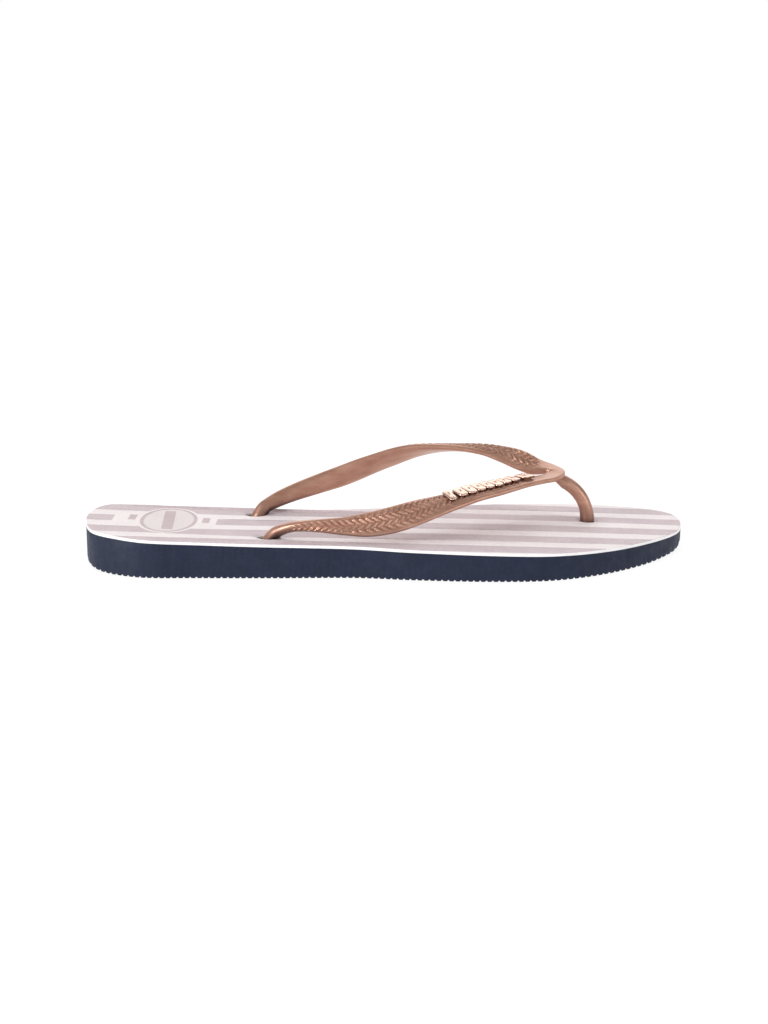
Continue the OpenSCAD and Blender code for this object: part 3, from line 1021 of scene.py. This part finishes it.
def bead_mesh(index, x, length):
    """A cushion-shaped nugget with undercut sides, a domed top and a small dimple, on the arm at x."""
    here = on_arm(x)
    t = unit(on_arm(x + 1)[:3] - on_arm(x - 1)[:3])
    n = face_normal(t, here[5])
    across = np.cross(n, t)
    width = BEAD_W * (1 + BEAD_UNEVENNESS * (math.sin(2.4 * index) - 1))
    middle = here[:3] + BEAD_SHIFT * across
    levels = [              # share of the bead's outline, and height above its seat
        (0.66, -0.35), (0.66, 0.5), (0.95, 0.8), (1.0, 0.95), (1.0, 1.45), (0.98, 1.6), (0.93, 1.72),
        (0.8, 1.81), (0.55, 1.88), (0.15, BEAD_H), (0.12, 1.8), (0.09, 1.5), (0.01, 1.45),
    ]
    a = np.arange(BEAD_SIDES) * 2 * math.pi / BEAD_SIDES
    c, s = np.cos(a), np.sin(a)
    wobble = 1 + BEAD_WOBBLE * np.sin(2 * a + index)
    along = length / 2 * np.sign(c) * np.abs(c) ** BEAD_SQUARENESS[0]
    over = width / 2 * np.sign(s) * np.abs(s) ** BEAD_SQUARENESS[1] * wobble
    return tube([
        middle + scale * (np.outer(along, t) + np.outer(over, across)) + (SEAT_Z + z) * n
        for scale, z in levels
    ])


def build_trim():
    metal = rose_gold("trim_metal", 0.2, 0.36)
    side = painted_shade_metal()
    for i, (x, length) in enumerate(bead_places(), start=1):
        points, faces = bead_mesh(i, x, length)
        # The lowest rings of faces take the darker metal: painted shade on the beads' sides.
        slots = [int(face[0] < BEAD_SIDE_RINGS * BEAD_SIDES and len(face) == 4) for face in faces]
        piece = make_piece(f"bead_{i}", points, faces, [metal, side], slots, crease=60)
        finish_piece(piece, "trim_metal", f"trim_bead_{i}")
    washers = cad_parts["trim_retainers"]
    washers.data.materials.clear()
    washers.data.materials.append(rose_gold("retainer_metal", 0.35, 0.5))


# ---- studio ----

CAMERA_TARGET = (-1.68, 0, 17.69)
CAMERA_DISTANCE = 700
CAMERA_ELEVATION = 13.5
CAMERA_LENS = 58.9
SENSOR = 36

# The rest of the studio is in metres and watts
FLOOR_HALF = 4.0
FLOOR_GLOW = (0.885, 1.02)      # near the shoe, and in the distance
FLOOR_GLOW_FADE = (1.0, 1.5)    # distances over which the one turns into the other
LIGHT_AIM = (0, 0, 0.02)
# Name, place, size, power, and whether glossy surfaces mirror it
LIGHTS = [
    ("key", (-1.0, -0.75, 0.32), (0.5, 0.5), 10.5, True),
    ("top", (0.05, 0.1, 1.2), (2.0, 1.5), 10.0, False),
    ("fill", (1.0, -0.6, 0.35), (0.6, 0.4), 2.0, True),
    ("back", (0.1, 1.05, 0.72), (1.8, 1.1), 7.5, True),
]


def build_camera():
    el = math.radians(CAMERA_ELEVATION)
    camera = bpy.data.cameras.new("camera")
    camera.lens = CAMERA_LENS
    camera.sensor_width = SENSOR
    camera.clip_start = 0.01
    holder = bpy.data.objects.new("camera", camera)
    holder.location = [
        CAMERA_TARGET[0] * MM,
        (CAMERA_TARGET[1] - CAMERA_DISTANCE * math.cos(el)) * MM,
        (CAMERA_TARGET[2] + CAMERA_DISTANCE * math.sin(el)) * MM,
    ]
    holder.rotation_euler = (math.pi / 2 - el, 0, 0)
    bpy.context.scene.collection.objects.link(holder)
    bpy.context.scene.camera = holder


def build_light(name, place, size, power, mirrored):
    light = bpy.data.lights.new(name, "AREA")
    light.shape = "RECTANGLE"
    light.size, light.size_y = size
    light.energy = power
    holder = bpy.data.objects.new(name, light)
    holder.location = place
    holder.visible_glossy = mirrored
    holder.rotation_euler = (Vector(LIGHT_AIM) - Vector(place)).to_track_quat("-Z", "Y").to_euler()
    bpy.context.scene.collection.objects.link(holder)


def floor_white():
    """A pale floor that glows faintly, and turns plain white in the distance."""
    material, tree, shader = new_material("floor_white", specular=0.0, roughness=0.9)
    shader.inputs["Base Color"].default_value = (0.17, 0.17, 0.17, 1)
    shader.inputs["Emission Color"].default_value = (1, 1, 1, 1)
    away = tree.nodes.new("ShaderNodeVectorMath")
    away.operation = "LENGTH"
    tree.links.new(coordinates(tree), away.inputs[0])
    glow = remap(tree, away.outputs["Value"], *FLOOR_GLOW_FADE, *FLOOR_GLOW)
    tree.links.new(glow, shader.inputs["Emission Strength"])
    return material


def build_floor():
    mesh = bpy.data.meshes.new("floor")
    corners = [(x * FLOOR_HALF, y * FLOOR_HALF, 0) for x, y in ((-1, -1), (1, -1), (1, 1), (-1, 1))]
    mesh.from_pydata(corners, [], [(0, 1, 2, 3)])
    mesh.materials.append(floor_white())
    floor = bpy.data.objects.new("floor", mesh)
    bpy.context.scene.collection.objects.link(floor)


def build_world():
    """White round the horizon, grey above."""
    world = bpy.data.worlds.new("studio")
    bpy.context.scene.world = world
    world.use_nodes = True
    sky = world.node_tree
    direction = sky.nodes.new("ShaderNodeTexCoord")
    height = remap(sky, height_of(sky, direction.outputs["Generated"]), 0.1, 0.25, 0, 1)
    shade = mix(sky, height, (1, 1, 1), (0.3, 0.3, 0.3))
    sky.links.new(shade, sky.nodes["Background"].inputs["Color"])


def build_studio():
    build_floor()
    build_world()
    for light in LIGHTS:
        build_light(*light)
    bpy.context.scene.view_settings.view_transform = "Standard"
    bpy.context.scene.view_settings.look = "None"


build_camera()
build_studio()
build_outsole()
build_footbed()
build_strap()
build_trim()

bpy.context.view_layer.update()
